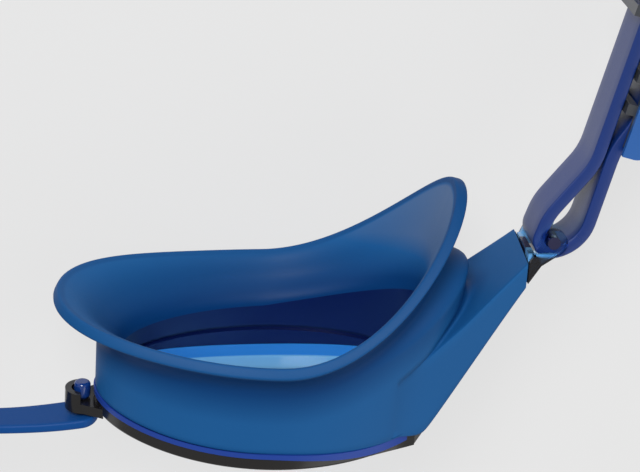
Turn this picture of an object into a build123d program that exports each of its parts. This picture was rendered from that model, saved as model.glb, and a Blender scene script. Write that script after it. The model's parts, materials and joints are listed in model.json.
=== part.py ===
"""Swim goggles: two eye cups on a flexible nose bridge, held by a looped head strap with a buckle at each side.

Design frame, in millimetres: X to the wearer's left, Y back towards the head, Z up, with X = 0 at the middle
of the nose and Z = 0 at the middle of the eye cups. The finished part is moved so that its origin is the centre
of its bounding box's base. Everything is built for the left side, and the right side is its mirror image.
"""

from build123d import *
from math import asin, cos, degrees, hypot, pi, radians, sin, sqrt, tan
import os

# ---- eye outline, seen from the front -------------------------------------------------------------------------
eye_nose_x = 16.0          # nose end of the cup
eye_width = 54.5           # nose end to temple end
eye_half_height = 16.8
eye_egg = 0.03             # how much fuller the temple half is than the nose half
outline_points = 24        # points that the closed outline spline passes through

# ---- layers of the cup, from the front back --------------------------------------------------------------------
face_radius = 80.0         # dome that the front of the bezel lies on
face_apex_y = -20.7        # where that dome is furthest forward
bezel_depth = 2.0
bezel_wall = 2.2
bezel_lip = 1.2            # how far the front lip reaches in over the lens
bezel_lip_depth = 0.8
bezel_rounding = 0.4       # radius of the bezel's outer front edge
lens_gap = 0.1             # clearance round the lens
lens_thickness = 1.8
lens_skirt_wall = 1.6      # the lens has a rim that turns back into the cup
lens_skirt_depth = 2.6
seat_line = 0.8            # depth of the coloured line between bezel and gasket
seat_proud = 0.15          # how far that line stands out of the wall
gasket_wall = 1.6
sleeve_back_y = -4.6       # back end of the rigid sleeve inside the gasket
groove_width = 0.9
groove_depth = 0.6
groove_to_lens = 1.8       # sleeve left between the groove and the lens

# ---- gasket skirt ---------------------------------------------------------------------------------------------
wall_lean = 3.0            # how far the wall leans out by the time it reaches the temple shoulder
shoulder_y = -5.0          # where the wall ends and the skirt begins, above and below the eye
shoulder_rise_temple = 13.5
shoulder_inset = 1.5       # the skirt starts inside the temple shoulder
rim_out_nose = 6.6         # how far the rim stands out from the cup wall
rim_out_top = 2.5
rim_out_temple = 0.8
rim_height_top = 1.0       # Y of the rim above and below the eye
rim_rise_nose = 2.2        # how far the rim rises above that
rim_out_power = 3.0        # how quickly the rim draws in beside its ends
shoulder_power = 2.5
rim_rise_temple = 21.2
rim_turn_nose = 66.0       # degrees that the skirt has turned outwards at the rim
rim_turn_top = 56.0
rim_turn_temple = 18.0
lip_thickness = 1.3
skirt_thickness = 1.8
skirt_swell = 0.22         # share of the way out to the rim that the skirt has come half way up
skirt_swell_temple = 0.1   # more of it at the temple

# ---- side arm -------------------------------------------------------------------------------------------------
eye_temple_x = eye_nose_x + eye_width
arm_front_root = (eye_temple_x - 3.6, -15.8)     # the arm's front face in plan
arm_front_end = (eye_temple_x + 13.5, 10.5)
arm_back_root = (eye_temple_x + 1.7, 2.2)        # the arm's back face in plan
arm_back_end = (eye_temple_x + 10.5, 10.6)
arm_cover_end_x = eye_temple_x + 11.2            # the soft cover stops here and the core goes on
arm_inside = 12.0                  # how far the cover's solid starts inside the cup, where it is cut away
arm_root_half_height = 15.8
arm_neck_x = eye_temple_x + 2.5
arm_neck_half_height = 9.1
arm_end_half_height = 5.9
core_thickness = 2.2
core_margin = 1.1                  # soft cover above and below the core
core_reach = 3.0                   # the core starts this far inside the cup wall
core_overlap = 0.15                # the tongue runs this far into the wedge

# ---- nose tab, stud and bridge --------------------------------------------------------------------------------
peg_x = 14.0
tab_radius = 2.7
tab_root_half_height = 4.4
tab_back_y = -15.0
tab_thickness = 1.6
tab_lip_wall = 1.0
tab_lip_height = 1.7
tab_lip_to = 0.4                   # the lip goes round the nose side of the tab, to this far short of the stud's axis
stud_radius = 0.85
knob_rounding = 0.55              # radius of the knob's rounded edges
stud_clearance = 0.05              # running fit of the stud in the tab's hole
knob_radius = 1.3
knob_length = 2.7
knob_gap = 0.1                     # end play of the tab under the knob
stud_head_radius = 1.7
stud_head_depth = 0.6
head_clearance = 0.05
band_gap = 0.3                     # between the bridge band and the tab in front of which it lies
band_thickness = 1.5
band_half_width_middle = 3.1
band_half_width_end = 3.6
band_tip = 2.6                     # band beyond the stud's centre
band_bow = 1.6                     # how far the middle of the band stands forward of its ends

# ---- strap ----------------------------------------------------------------------------------------------------
strap_width = 9.0
strap_thickness = 2.0
bar_x = eye_temple_x + 15.1
bar_y = 13.9
bar_radius = 1.0
bar_clearance = 0.05               # running fit of the strap's fold round the bar
run_angle = 74.8                   # degrees from the X axis of the straight run beside the head
run_offset = 2.5                   # centre line of the run, outside the bar's centre
run_length = 48.5                  # from the bar to the end of the straight run
fold_lean = 4.0                    # degrees that the strap leans out as it leaves the bar
fold_knee = 3.5                    # where it starts to lean more
fold_merge = 13.3                  # where it reaches the straight run
front_lean = 25.0                  # degrees that the fold's front stretch leans back
neck_gap = 0.25                    # between the two layers where they meet
neck_start = 16.4
tail_parallel_from = 22.0
tail_end = 49.0
fold_front_bend = 6.6              # bend radii of the strap's centre line
knee_bend = 9.6
merge_bend = 10.5
neck_bend = 12.0
side_bend = 40.0
side_turn = 35.0                   # degrees past straight back at which the side bend ends

# ---- strap clip -----------------------------------------------------------------------------------------------
side_clearance = 0.3               # beside the strap's edges
lug_thickness = 1.2
lug_radius = 2.1
lug_edge = 0.2                     # the lugs stop this far from the soft cover and the wedge's tip
fold_clearance = 0.35              # between the strap's fold and the clip's web
clip_web = 1.5

# ---- buckle ---------------------------------------------------------------------------------------------------
strap_slack = 0.3                  # clearance on each face of the strap in the buckle
crossbar_height = 1.6              # across the strap's thickness
crossbar_width = 1.7               # along the strap
crossbar_first = 23.4
crossbar_pitch = 5.2
crossbar_count = 3
rail_thickness = 0.8
keeper_at = 38.4
keeper_height = 1.3
buckle_from = 16.2
buckle_to = 41.0
cover_wall = 1.6
cover_side = 0.9
cover_corner = 2.4

# ---- values worked out from those above -----------------------------------------------------------------------
eye_half_width = eye_width / 2
eye_centre_x = eye_nose_x + eye_half_width
dome_centre = (eye_centre_x, face_apex_y + face_radius, 0)
lens_grow = -(bezel_wall + lens_gap)
lens_front_radius = face_radius - bezel_lip_depth - lens_gap
lens_back_radius = lens_front_radius - lens_thickness
skirt_back_radius = lens_back_radius - lens_skirt_depth
bezel_back_radius = face_radius - bezel_depth
gasket_front_radius = bezel_back_radius - seat_line
inner_grow = lens_grow - lens_skirt_wall
wrap_radius = bar_radius + bar_clearance + strap_thickness / 2
neck_offset = run_offset + strap_thickness + neck_gap
tail_offset = run_offset + strap_thickness + 2 * strap_slack + crossbar_height
strap_half = strap_width / 2
lug_inner_z = strap_half + side_clearance
band_back_y = tab_back_y - tab_thickness - band_gap
far = 60.0                         # longer than anything that it has to cut through


def eye_point(t):
    """Point of the cup's outline at parameter t (0 at the temple, pi at the nose) and its outward direction."""
    x = eye_centre_x + eye_half_width * cos(t)
    z = eye_half_height * sin(t) * (1 + eye_egg * cos(t))
    dx = eye_half_height * (cos(t) + eye_egg * cos(2 * t))
    dz = eye_half_width * sin(t)
    size = hypot(dx, dz)
    return (x, z), (dx / size, dz / size)


def eye_prism(grow, y_from, y_to):
    """Solid with the eye outline moved outwards by grow, between two values of Y."""
    points = []
    for i in range(outline_points):
        (x, z), (nx, nz) = eye_point(2 * pi * i / outline_points)
        points.append((x + grow * nx, y_from, z + grow * nz))
    face = make_face(Spline(points, periodic=True))
    return extrude(face, amount=y_to - y_from, dir=(0, 1, 0))


def dome(radius):
    """Ball whose forward side is one of the cup's curved front surfaces."""
    return Pos(*dome_centre) * Sphere(radius)


def blend_round(c, nose, top, temple, power=2.0):
    """Value that goes from nose through top to temple as c = cos(t) goes from -1 to 1."""
    end = temple if c > 0 else nose
    return top + (end - top) * abs(c) ** power


def skirt_profile(t):
    """Section of the gasket at parameter t: wall, skirt, rounded lip and the face that the skin sits in."""
    (x, z), (nx, nz) = eye_point(t)
    c = cos(t)
    plane = Plane(origin=(x, 0, z), x_dir=(nx, 0, nz), z_dir=(-nz, 0, nx))
    lean = wall_lean * max(c, 0) ** 2
    shoulder_top = shoulder_y + shoulder_rise_temple
    shoulder = (lean, blend_round(c, shoulder_y, shoulder_y, shoulder_top, shoulder_power))
    rim_out = blend_round(c, rim_out_nose, rim_out_top, rim_out_temple, rim_out_power)
    rim_y = rim_height_top + blend_round(c, rim_rise_nose, 0, rim_rise_temple)
    turn = radians(blend_round(c, rim_turn_nose, rim_turn_top, rim_turn_temple))
    along = (sin(turn), cos(turn))
    across = (cos(turn), -sin(turn))
    half = lip_thickness / 2
    lip = (rim_out - half * along[0], rim_y - half * along[1])
    lip_outer = (lip[0] + half * across[0], lip[1] + half * across[1])
    lip_tip = (lip[0] + half * along[0], lip[1] + half * along[1])
    lip_inner = (lip[0] - half * across[0], lip[1] - half * across[1])
    share_out = skirt_swell + skirt_swell_temple * max(c, 0) ** 2
    mid_out = shoulder[0] + share_out * (rim_out - shoulder[0]) - shoulder_inset * max(c, 0) ** 2
    middle = (mid_out, shoulder[1] + 0.5 * (lip_outer[1] - shoulder[1]))
    mid_turn = turn / 2
    inside = (middle[0] - skirt_thickness * cos(mid_turn), middle[1] + skirt_thickness * sin(mid_turn))
    front = face_apex_y - bezel_depth
    wall_way = (lean, shoulder[1] - front)
    edges = [
        Line((0, front), shoulder),
        Spline([shoulder, middle, lip_outer], tangents=[wall_way, along]),
        ThreePointArc(lip_outer, lip_tip, lip_inner),
        Spline([lip_inner, inside, (inner_grow, sleeve_back_y)], tangents=[(-along[0], -along[1]), (0, -1)]),
        Line((inner_grow, sleeve_back_y), (inner_grow, front)),
        Line((inner_grow, front), (0, front)),
    ]
    return plane * make_face(edges)


def cup_shell():
    """The gasket's wall and skirt: sections lofted round the upper half and mirrored."""
    step = pi / 12
    sections = [skirt_profile(i * step) for i in range(-1, 14)]
    half = loft(sections)
    upper = half & Pos(eye_centre_x, 0, far) * Box(4 * far, 4 * far, 2 * far)
    return upper + mirror(upper, about=Plane.XY)


def arm_height_face(margin):
    """Front view of the side arm: it narrows from the cup to the strap."""
    root = arm_root_half_height - margin
    neck = arm_neck_half_height - margin
    end = arm_end_half_height - margin
    root_x = eye_nose_x + eye_half_width
    end_x = arm_front_end[0] + 1
    upper = Spline([(root_x, root), (arm_neck_x, neck), (end_x, end)], tangents=[(1, -0.1), (1, -0.12)])
    lower = Spline([(end_x, -end), (arm_neck_x, -neck), (root_x, -root)], tangents=[(-1, -0.12), (-1, -0.1)])
    outline = [upper, Line((end_x, end), (end_x, -end)), lower, Line((root_x, -root), (root_x, root))]
    return Plane.XZ * make_face(outline)


def arm_height(margin):
    """Solid of the arm's front view, long enough in Y to cut the plan with."""
    return extrude(arm_height_face(margin), amount=2 * far, both=True)


def arm_direction():
    """Unit vector along the arm's front face and the one that points back from it."""
    dx = arm_front_end[0] - arm_front_root[0]
    dy = arm_front_end[1] - arm_front_root[1]
    size = hypot(dx, dy)
    return (dx / size, dy / size), (-dy / size, dx / size)


def front_line_y(x):
    """Y of the arm's front face at a given X."""
    share = (x - arm_front_root[0]) / (arm_front_end[0] - arm_front_root[0])
    return arm_front_root[1] + share * (arm_front_end[1] - arm_front_root[1])


def plan_solid(points, half_height):
    """Polygon in plan, extruded the same way up and down."""
    return extrude(make_face(Polyline(*points, close=True)), amount=half_height, both=True)


def arm_cover():
    """Soft wedge behind the arm's core, in plan and in front view."""
    along, _ = arm_direction()
    root = (arm_front_root[0] - arm_inside * along[0], arm_front_root[1] - arm_inside * along[1])
    inside = (arm_front_root[0] - arm_inside, arm_back_root[1] - arm_inside)
    end_front = (arm_cover_end_x, front_line_y(arm_cover_end_x))
    points = [root, end_front, (arm_cover_end_x, arm_back_end[1]), arm_back_end, arm_back_root, inside]
    return plan_solid(points, far) & arm_height(0)


def arm_core(shell):
    """Rigid tongue of the frame: it leaves the bezel's temple end, runs along the front of the arm inside the soft
    cover, and ends in the wedge that holds the strap clip."""
    along, back = arm_direction()
    start = (arm_front_root[0] - core_reach * along[0], arm_front_root[1] - core_reach * along[1])
    rear = [(p[0] + core_thickness * back[0], p[1] + core_thickness * back[1]) for p in (arm_front_end, start)]
    strip = plan_solid([start, arm_front_end, *rear], far)
    inside_cover = Pos(arm_cover_end_x + core_overlap - far, 0, 0) * Box(2 * far, 4 * far, 4 * far)
    tongue = strip & inside_cover & arm_height(core_margin)
    ahead = [(start[0] - far, start[1]), *reversed(rear), (rear[0][0] + far, rear[0][1]), (far * 2, -far), (-far, -far)]
    root = shell & plan_solid(ahead, far) & arm_height(core_margin) & dome(bezel_back_radius)
    root = root & Pos(eye_centre_x + far, 0, 0) * Box(2 * far, 4 * far, 4 * far)
    heel = (arm_cover_end_x, front_line_y(arm_cover_end_x))
    wedge = [heel, arm_front_end, (arm_cover_end_x, arm_front_end[1])]
    return tongue + root - eye_prism(-gasket_wall, face_apex_y - 2, 1) + tilted(plan_solid(wedge, lug_inner_z))


def rim_depth(t):
    """How far the lip's round reaches below the middle of the cup at parameter t."""
    (_, z), (_, nz) = eye_point(t)
    c = cos(t)
    out = blend_round(c, rim_out_nose, rim_out_top, rim_out_temple, rim_out_power)
    turn = radians(blend_round(c, rim_turn_nose, rim_turn_top, rim_turn_temple))
    return z + nz * (out + lip_thickness / 2 * (1 - sin(turn)))


def band_at_peg_y():
    """Y of the bridge band's back face at the stud, on the arc that the band is bowed along."""
    end_x = peg_x + band_tip
    radius = (end_x * end_x + band_bow * band_bow) / (2 * band_bow)
    return band_back_y - band_bow + radius - sqrt(radius * radius - peg_x * peg_x)


def strap_tilt():
    """Degrees that the strap's plane drops towards the back, so that its lower edge is level with the cups."""
    lowest = max(rim_depth(pi * i / 90) for i in range(90))
    return degrees(asin((lowest - strap_half) / (strap_back_y() - bar_y)))


def run_vectors():
    """Unit vectors in plan along the straight run and outwards from it."""
    a = radians(run_angle)
    return (cos(a), sin(a)), (sin(a), -cos(a))


def at_run(s, q):
    """Plan point s along the run and q outside the bar's centre."""
    e, n = run_vectors()
    return (bar_x + s * e[0] + q * n[0], bar_y + s * e[1] + q * n[1])


def side_arc():
    """Centre of the side bend, radius of the bend behind the head and the plan centre of that bend."""
    x1, y1 = at_run(run_length, run_offset)
    _, n = run_vectors()
    centre = (x1 - side_bend * n[0], y1 - side_bend * n[1])
    turn = radians(side_turn)
    back_radius = side_bend + centre[0] / cos(turn)
    back_centre_y = centre[1] - (back_radius - side_bend) * sin(turn)
    return centre, back_radius, back_centre_y


def strap_back_y():
    """How far back the outside of the strap reaches, before it is tilted."""
    _, back_radius, back_centre_y = side_arc()
    return back_centre_y + back_radius + strap_thickness / 2


def tilted(shape):
    """Turn a shape about the left and right bars' common line, so that it lies in the strap's plane."""
    return Pos(0, bar_y, 0) * Rot(-strap_tilt(), 0, 0) * Pos(0, -bar_y, 0) * shape


def fold_corners():
    """Plan points of the strap's centre line from the tail's end round the bar to the end of the straight run."""
    lean = radians(fold_lean)
    front = radians(front_lean)
    m1 = (sin(lean), -cos(lean))
    m2 = (-cos(front), sin(front))
    reach = wrap_radius / (1 + m1[0] * m2[0] + m1[1] * m2[1])
    wrap = (reach * (m1[0] + m2[0]), reach * (m1[1] + m2[1]))
    touch = (wrap_radius * m2[0], wrap_radius * m2[1])
    rise = (neck_offset - touch[1]) / cos(front)
    corner = (touch[0] + rise * sin(front), neck_offset)
    left = wrap_radius * m1[1] + (fold_knee - wrap_radius * m1[0]) * tan(lean)
    points = [
        (tail_end, tail_offset),
        (tail_parallel_from, tail_offset),
        (neck_start, neck_offset),
        corner,
        wrap,
        (fold_knee, left),
        (fold_merge, run_offset),
        (run_length, run_offset),
    ]
    bends = [neck_bend, neck_bend, fold_front_bend, wrap_radius, knee_bend, merge_bend]
    return [at_run(*p) for p in points], bends


def strap_half_line():
    """Centre line of the strap's left half in plan, as lines and arcs that meet in tangents."""
    points, bends = fold_corners()
    start = FilletPolyline(*points, radius=bends)
    centre, back_radius, back_centre_y = side_arc()
    a0 = run_angle - 90
    side = CenterArc(centre, side_bend, a0, side_turn - a0)
    back = CenterArc((0, back_centre_y), back_radius, side_turn, 90 - side_turn)
    return [*start.edges(), side, back]


def strap_band():
    """The head strap: one flat band, folded back on itself round the bar at each end."""
    left = Wire(strap_half_line())
    section = Plane(left @ 0, x_dir=(0, 0, 1), z_dir=left % 0) * Rectangle(strap_width, strap_thickness)
    half = sweep(section, path=left)
    return tilted(half + mirror(half, about=Plane.YZ))


def lens():
    """Domed clear lens with a rim that turns back into the cup."""
    body = eye_prism(lens_grow, face_apex_y - 1, 0)
    plate = (body & dome(lens_front_radius)) - dome(lens_back_radius)
    rim = ((body - eye_prism(inner_grow, face_apex_y - 2, 1)) & dome(lens_front_radius)) - dome(skirt_back_radius)
    return plate + rim


def seat_ring(core):
    """Rigid coloured ring: a thin line outside, and a sleeve with a groove inside the gasket."""
    front = face_apex_y - 1
    line = (eye_prism(seat_proud, front, 0) & dome(bezel_back_radius)) - dome(gasket_front_radius)
    sleeve = eye_prism(-gasket_wall, front, sleeve_back_y) & dome(bezel_back_radius)
    hollow = eye_prism(inner_grow, front - 1, 1)
    pocket = eye_prism(-bezel_wall, front - 1, 1) - dome(skirt_back_radius - lens_gap)
    groove_front = skirt_back_radius - lens_gap - groove_to_lens
    groove = (eye_prism(inner_grow + groove_depth, front, 1) & dome(groove_front)) - dome(groove_front - groove_width)
    return (line + sleeve) - hollow - pocket - groove - core


def gasket(shell, core):
    """Soft cup: wall, flared skirt and arm cover in one piece."""
    inside = eye_prism(-gasket_wall / 2, -far, sleeve_back_y)
    cover = arm_cover() & dome(gasket_front_radius)
    body = (shell & dome(gasket_front_radius)) + (cover - inside)
    return body - eye_prism(-gasket_wall, -far, sleeve_back_y) - core


def nose_tab():
    """Tab that the bridge's stud passes through, with a lip round its end."""
    y0 = tab_back_y - tab_thickness
    root_x = eye_nose_x + bezel_wall / 2
    disc = Plane.XZ.offset(-y0) * (Pos(peg_x, 0) * Circle(tab_radius))
    base = Polyline((peg_x, tab_radius), (root_x, tab_root_half_height), (root_x, -tab_root_half_height),
                    (peg_x, -tab_radius), close=True)
    plate = extrude(disc + Plane.XZ.offset(-y0) * make_face(base), amount=-tab_thickness)
    lip_ring = Circle(tab_radius) - Circle(tab_radius - tab_lip_wall)
    lip = extrude(Plane.XZ.offset(-tab_back_y) * (Pos(peg_x, 0) * lip_ring), amount=-tab_lip_height)
    lip = lip & Pos(peg_x - far / 2 - tab_lip_to, 0, 0) * Box(far, far, far)
    return plate + lip


def peg_cylinder(radius, y_from, y_to):
    """Cylinder on the stud's axis between two values of Y."""
    return Pos(peg_x, (y_from + y_to) / 2, 0) * Rot(90, 0, 0) * Cylinder(radius, y_to - y_from)


def frame(core):
    """Rigid front frame: bezel with a lip over the lens, nose tab, and the arm's core."""
    front = face_apex_y - 1
    bezel = (eye_prism(0, front, 0) & dome(face_radius)) - dome(bezel_back_radius)
    bezel = fillet(bezel.edges().sort_by(Axis.Y)[0], bezel_rounding)
    window = eye_prism(-(bezel_wall + bezel_lip), front - 1, 1)
    rebate = eye_prism(-bezel_wall, front - 1, 1) & dome(face_radius - bezel_lip_depth)
    bezel = bezel - window - rebate
    keep_out = eye_prism(seat_proud, front - 1, 0) & dome(bezel_back_radius)
    body = bezel + core + (nose_tab() - keep_out)
    return body - peg_cylinder(stud_radius + stud_clearance, face_apex_y, 0)


def stud():
    """Stud of the bridge: a flat head in the band, a shank through the tab and a rounded knob behind it."""
    head_front = band_at_peg_y() - band_thickness
    knob_from = tab_back_y + knob_gap
    head = peg_cylinder(stud_head_radius, head_front, head_front + stud_head_depth)
    shank = peg_cylinder(stud_radius, head_front, knob_from + knob_length / 2)
    knob = peg_cylinder(knob_radius, knob_from, knob_from + knob_length)
    knob = fillet(knob.edges().filter_by(GeomType.CIRCLE), knob_rounding)
    return head + shank + knob


def bridge():
    """Soft band across the nose, bowed forward, with a seat at each end for its stud."""
    end_x = peg_x + band_tip
    middle_y = band_back_y - band_bow
    back = ThreePointArc((-end_x, band_back_y), (0, middle_y), (end_x, band_back_y))
    front = ThreePointArc((end_x, band_back_y - band_thickness), (0, middle_y - band_thickness),
                          (-end_x, band_back_y - band_thickness))
    ends = [Line((end_x, band_back_y), (end_x, band_back_y - band_thickness)),
            Line((-end_x, band_back_y - band_thickness), (-end_x, band_back_y))]
    slab = extrude(make_face([back, ends[0], front, ends[1]]), amount=far, both=True)
    upper = Spline([(-peg_x, band_half_width_end), (0, band_half_width_middle), (peg_x, band_half_width_end)],
                   tangents=[(1, 0), (1, 0)])
    lower = Spline([(peg_x, -band_half_width_end), (0, -band_half_width_middle), (-peg_x, -band_half_width_end)],
                   tangents=[(-1, 0), (-1, 0)])
    tip = ThreePointArc((peg_x, band_half_width_end), (end_x, 0), (peg_x, -band_half_width_end))
    other_tip = ThreePointArc((-peg_x, -band_half_width_end), (-end_x, 0), (-peg_x, band_half_width_end))
    shape = extrude(Plane.XZ * make_face([upper, tip, lower, other_tip]), amount=far, both=True)
    band = slab & shape
    head_front = band_at_peg_y() - band_thickness
    seat = peg_cylinder(stud_head_radius + head_clearance, head_front - 1, head_front + stud_head_depth)
    hole = peg_cylinder(stud_radius + head_clearance, head_front - 1, band_back_y + 1)
    return band - seat - hole - mirror(seat, about=Plane.YZ) - mirror(hole, about=Plane.YZ)


def lug_outline():
    """Plan of one clip lug: from the arm's wedge to round the bar."""
    eye = Pos(bar_x, bar_y) * Circle(lug_radius)
    edge_x = arm_cover_end_x + lug_edge
    reach = lug_radius * sqrt(0.5)
    foot = [
        (edge_x, front_line_y(edge_x)),
        (arm_front_end[0] - lug_edge, front_line_y(arm_front_end[0] - lug_edge)),
        (bar_x + reach, bar_y - reach),
        (bar_x - reach, bar_y + reach),
        (edge_x, arm_front_end[1]),
    ]
    return eye + make_face(Polyline(*foot, close=True))


def strap_clip():
    """Clear clip: two lugs over and under the arm's wedge, joined by a web in front of the strap's fold."""
    lug = extrude(lug_outline(), amount=lug_thickness)
    upper = Pos(0, 0, lug_inner_z) * lug
    lower = Pos(0, 0, -lug_inner_z - lug_thickness) * lug
    edge_x = arm_cover_end_x + lug_edge
    tip_x = arm_front_end[0] - lug_edge
    seat_y = arm_front_end[1]
    web_plan = [(edge_x, seat_y), (tip_x, seat_y), (tip_x, seat_y + clip_web), (edge_x, seat_y + clip_web)]
    web = plan_solid(web_plan, lug_inner_z)
    fold = Pos(bar_x, bar_y) * Cylinder(wrap_radius + strap_thickness / 2 + fold_clearance, 2 * lug_inner_z)
    bore = Pos(bar_x, bar_y) * Cylinder(bar_radius, far)
    return tilted(upper + lower + (web - fold) - bore)


def strap_pin():
    """Bar that the strap folds round, held in the clip's lugs."""
    return tilted(Pos(bar_x, bar_y) * Cylinder(bar_radius, 2 * (lug_inner_z + lug_thickness)))


def run_box(s_from, s_to, q_from, q_to, z_from, z_to):
    """Box set out along the strap's straight run."""
    box = Pos((s_from + s_to) / 2, -(q_from + q_to) / 2, (z_from + z_to) / 2)
    box = box * Box(s_to - s_from, q_to - q_from, z_to - z_from)
    return Pos(bar_x, bar_y) * Rot(0, 0, run_angle) * box


def both_edges(s_from, s_to, q_from, q_to, z_from, z_to):
    """The same box beside the strap's upper and lower edges."""
    upper = run_box(s_from, s_to, q_from, q_to, z_from, z_to)
    return upper + run_box(s_from, s_to, q_from, q_to, -z_to, -z_from)


def buckle_frame():
    """Ladder: crossbars between the strap's two layers on rails, and a keeper bar inside the strap."""
    bar_q = run_offset + strap_thickness / 2 + strap_slack
    rail_q = bar_q + crossbar_height
    back_q = tail_offset + strap_thickness / 2 + strap_slack
    rail_z = lug_inner_z + rail_thickness
    body = both_edges(buckle_from + cover_corner / 2, buckle_to - cover_corner / 2, rail_q, back_q, lug_inner_z, rail_z)
    for i in range(crossbar_count):
        at = crossbar_first + i * crossbar_pitch
        s_from = at - crossbar_width / 2
        s_to = at + crossbar_width / 2
        bar = run_box(s_from, s_to, bar_q, rail_q, -rail_z, rail_z)
        leg = both_edges(s_from, s_to, bar_q, back_q, lug_inner_z, rail_z)
        body = body + bar + leg
    keeper_q = run_offset - strap_thickness / 2 - strap_slack
    s_from = keeper_at - crossbar_width / 2
    s_to = keeper_at + crossbar_width / 2
    keeper = run_box(s_from, s_to, keeper_q - keeper_height, keeper_q, -rail_z, rail_z)
    legs = both_edges(s_from, s_to, keeper_q - keeper_height, back_q, lug_inner_z, rail_z)
    return tilted(body + keeper + legs)


def buckle_cover():
    """Bright outer shell: a rounded wall outside the tail, with sides that close over the ladder's rails."""
    rail_q = run_offset + strap_thickness / 2 + strap_slack + crossbar_height
    back_q = tail_offset + strap_thickness / 2 + strap_slack
    rail_z = lug_inner_z + rail_thickness
    outer = run_box(buckle_from, buckle_to, rail_q, back_q + cover_wall, -rail_z - cover_side, rail_z + cover_side)
    corners = outer.edges().filter_by(Axis.Z).sort_by(lambda e: -e.center().dot(Vector(*run_vectors()[1], 0)))[:2]
    outer = fillet(corners, cover_corner)
    hollow = run_box(buckle_from - 1, buckle_to + 1, rail_q - 1, back_q, -rail_z, rail_z)
    return tilted(outer - hollow)


def main():
    os.makedirs("parts", exist_ok=True)
    shell = cup_shell()
    core = arm_core(shell)
    left_pieces = {
        "lens": lens(),
        "frame": frame(core),
        "seat_ring": seat_ring(core),
        "gasket": gasket(shell, core),
        "strap_clip": strap_clip(),
        "strap_pin": strap_pin(),
        "buckle_frame": buckle_frame(),
        "buckle_cover": buckle_cover(),
        "nose_stud": stud(),
    }
    pieces = {}
    for name, left in left_pieces.items():
        pieces["left_" + name] = left
        pieces["right_" + name] = mirror(left, about=Plane.YZ)
    pieces["nose_bridge"] = bridge()
    pieces["head_strap"] = strap_band()
    box = Compound(children=[Compound(p.solids()) for p in pieces.values()]).bounding_box()
    shift = (-(box.min.X + box.max.X) / 2, -(box.min.Y + box.max.Y) / 2, -box.min.Z)
    for name, piece in pieces.items():
        placed = Pos(*shift) * piece
        export_step(placed, os.path.join("parts", name + ".step"))
    print("moved by", [round(v, 4) for v in shift], "tilt", round(strap_tilt(), 4))


main()
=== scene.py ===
"""Looks of a pair of swim goggles: eye cups, nose bridge and strap as modelled surfaces, and every finish.

Shapes are worked out in millimetres in the goggles' own frame (X to the wearer's left, Y back towards the
head, Z up from the middle of the eye cups) and put into the row frame, in metres, by Placement. An array
named t holds places round the eye's outline, as angles from the temple over the top, and c is its cosine.
"""

from __future__ import annotations

import json
import logging
import math
from collections.abc import Callable
from dataclasses import dataclass
from enum import Enum
from typing import Any, ClassVar

import bpy
import numpy as np
from mathutils import Matrix, Vector

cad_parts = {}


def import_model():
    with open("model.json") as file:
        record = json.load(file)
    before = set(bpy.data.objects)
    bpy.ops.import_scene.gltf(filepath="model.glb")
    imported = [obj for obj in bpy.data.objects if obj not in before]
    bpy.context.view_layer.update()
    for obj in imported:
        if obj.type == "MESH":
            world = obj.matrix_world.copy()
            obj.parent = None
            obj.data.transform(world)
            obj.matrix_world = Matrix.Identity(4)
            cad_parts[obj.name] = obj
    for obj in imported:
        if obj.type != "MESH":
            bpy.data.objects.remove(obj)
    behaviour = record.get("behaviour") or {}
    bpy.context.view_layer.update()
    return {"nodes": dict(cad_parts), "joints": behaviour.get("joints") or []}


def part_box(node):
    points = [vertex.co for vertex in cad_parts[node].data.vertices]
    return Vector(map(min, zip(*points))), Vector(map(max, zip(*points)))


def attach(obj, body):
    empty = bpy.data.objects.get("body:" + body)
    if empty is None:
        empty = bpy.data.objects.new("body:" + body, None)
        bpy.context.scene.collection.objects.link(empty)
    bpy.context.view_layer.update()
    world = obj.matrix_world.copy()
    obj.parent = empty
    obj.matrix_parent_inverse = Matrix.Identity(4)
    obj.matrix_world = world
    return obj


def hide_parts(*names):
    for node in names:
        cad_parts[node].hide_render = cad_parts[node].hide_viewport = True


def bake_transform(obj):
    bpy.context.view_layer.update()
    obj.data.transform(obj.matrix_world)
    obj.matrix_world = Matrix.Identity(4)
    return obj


LOG = logging.getLogger("goggles")
MM = 0.001
ROOT = "bridge_and_strap"
Colour = tuple[float, float, float, float]
Values = dict[Any, Any]
Faces = list[list[int]]
Plan = tuple[tuple[float, float], ...]
Surface = tuple[np.ndarray, Faces, dict[str, np.ndarray]]


class Side(Enum):
    """The wearer's left and right, as the sign of X."""

    LEFT = 1
    RIGHT = -1

    @property
    def word(self) -> str:
        """Name used in node and body names."""
        return self.name.lower()


# ---- shader graph ----


def arithmetic(operation: str, swapped: bool = False) -> Callable[[Number, Any], Number]:
    """Write the method of one operator.

    Args:
        operation: the Math node's operation.
        swapped: whether the wrapped socket stands on the operator's right.

    Returns:
        The method, which adds a Math node.
    """

    def method(self: Number, other: Any) -> Number:
        """Add the Math node and wrap its result."""
        return self.work(operation, other, self) if swapped else self.work(operation, self, other)

    return method


class Number:
    """A number on a shader socket; arithmetic on it adds Math nodes."""

    def __init__(self, graph: Graph, socket: Any) -> None:
        """Wrap an output socket, for the graph that new nodes go into."""
        self.graph = graph
        self.socket = socket

    def work(self, operation: str, first: Any, second: Any) -> Number:
        """Add one Math node and wrap its result."""
        return self.graph.value("ShaderNodeMath", {"operation": operation}, {0: first, 1: second})

    def __abs__(self) -> Number:
        """Size without its sign."""
        return self.work("ABSOLUTE", self, 0.0)

    __add__, __radd__ = arithmetic("ADD"), arithmetic("ADD", True)
    __sub__, __rsub__ = arithmetic("SUBTRACT"), arithmetic("SUBTRACT", True)
    __mul__, __rmul__ = arithmetic("MULTIPLY"), arithmetic("MULTIPLY", True)
    __pow__ = arithmetic("POWER")


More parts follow.
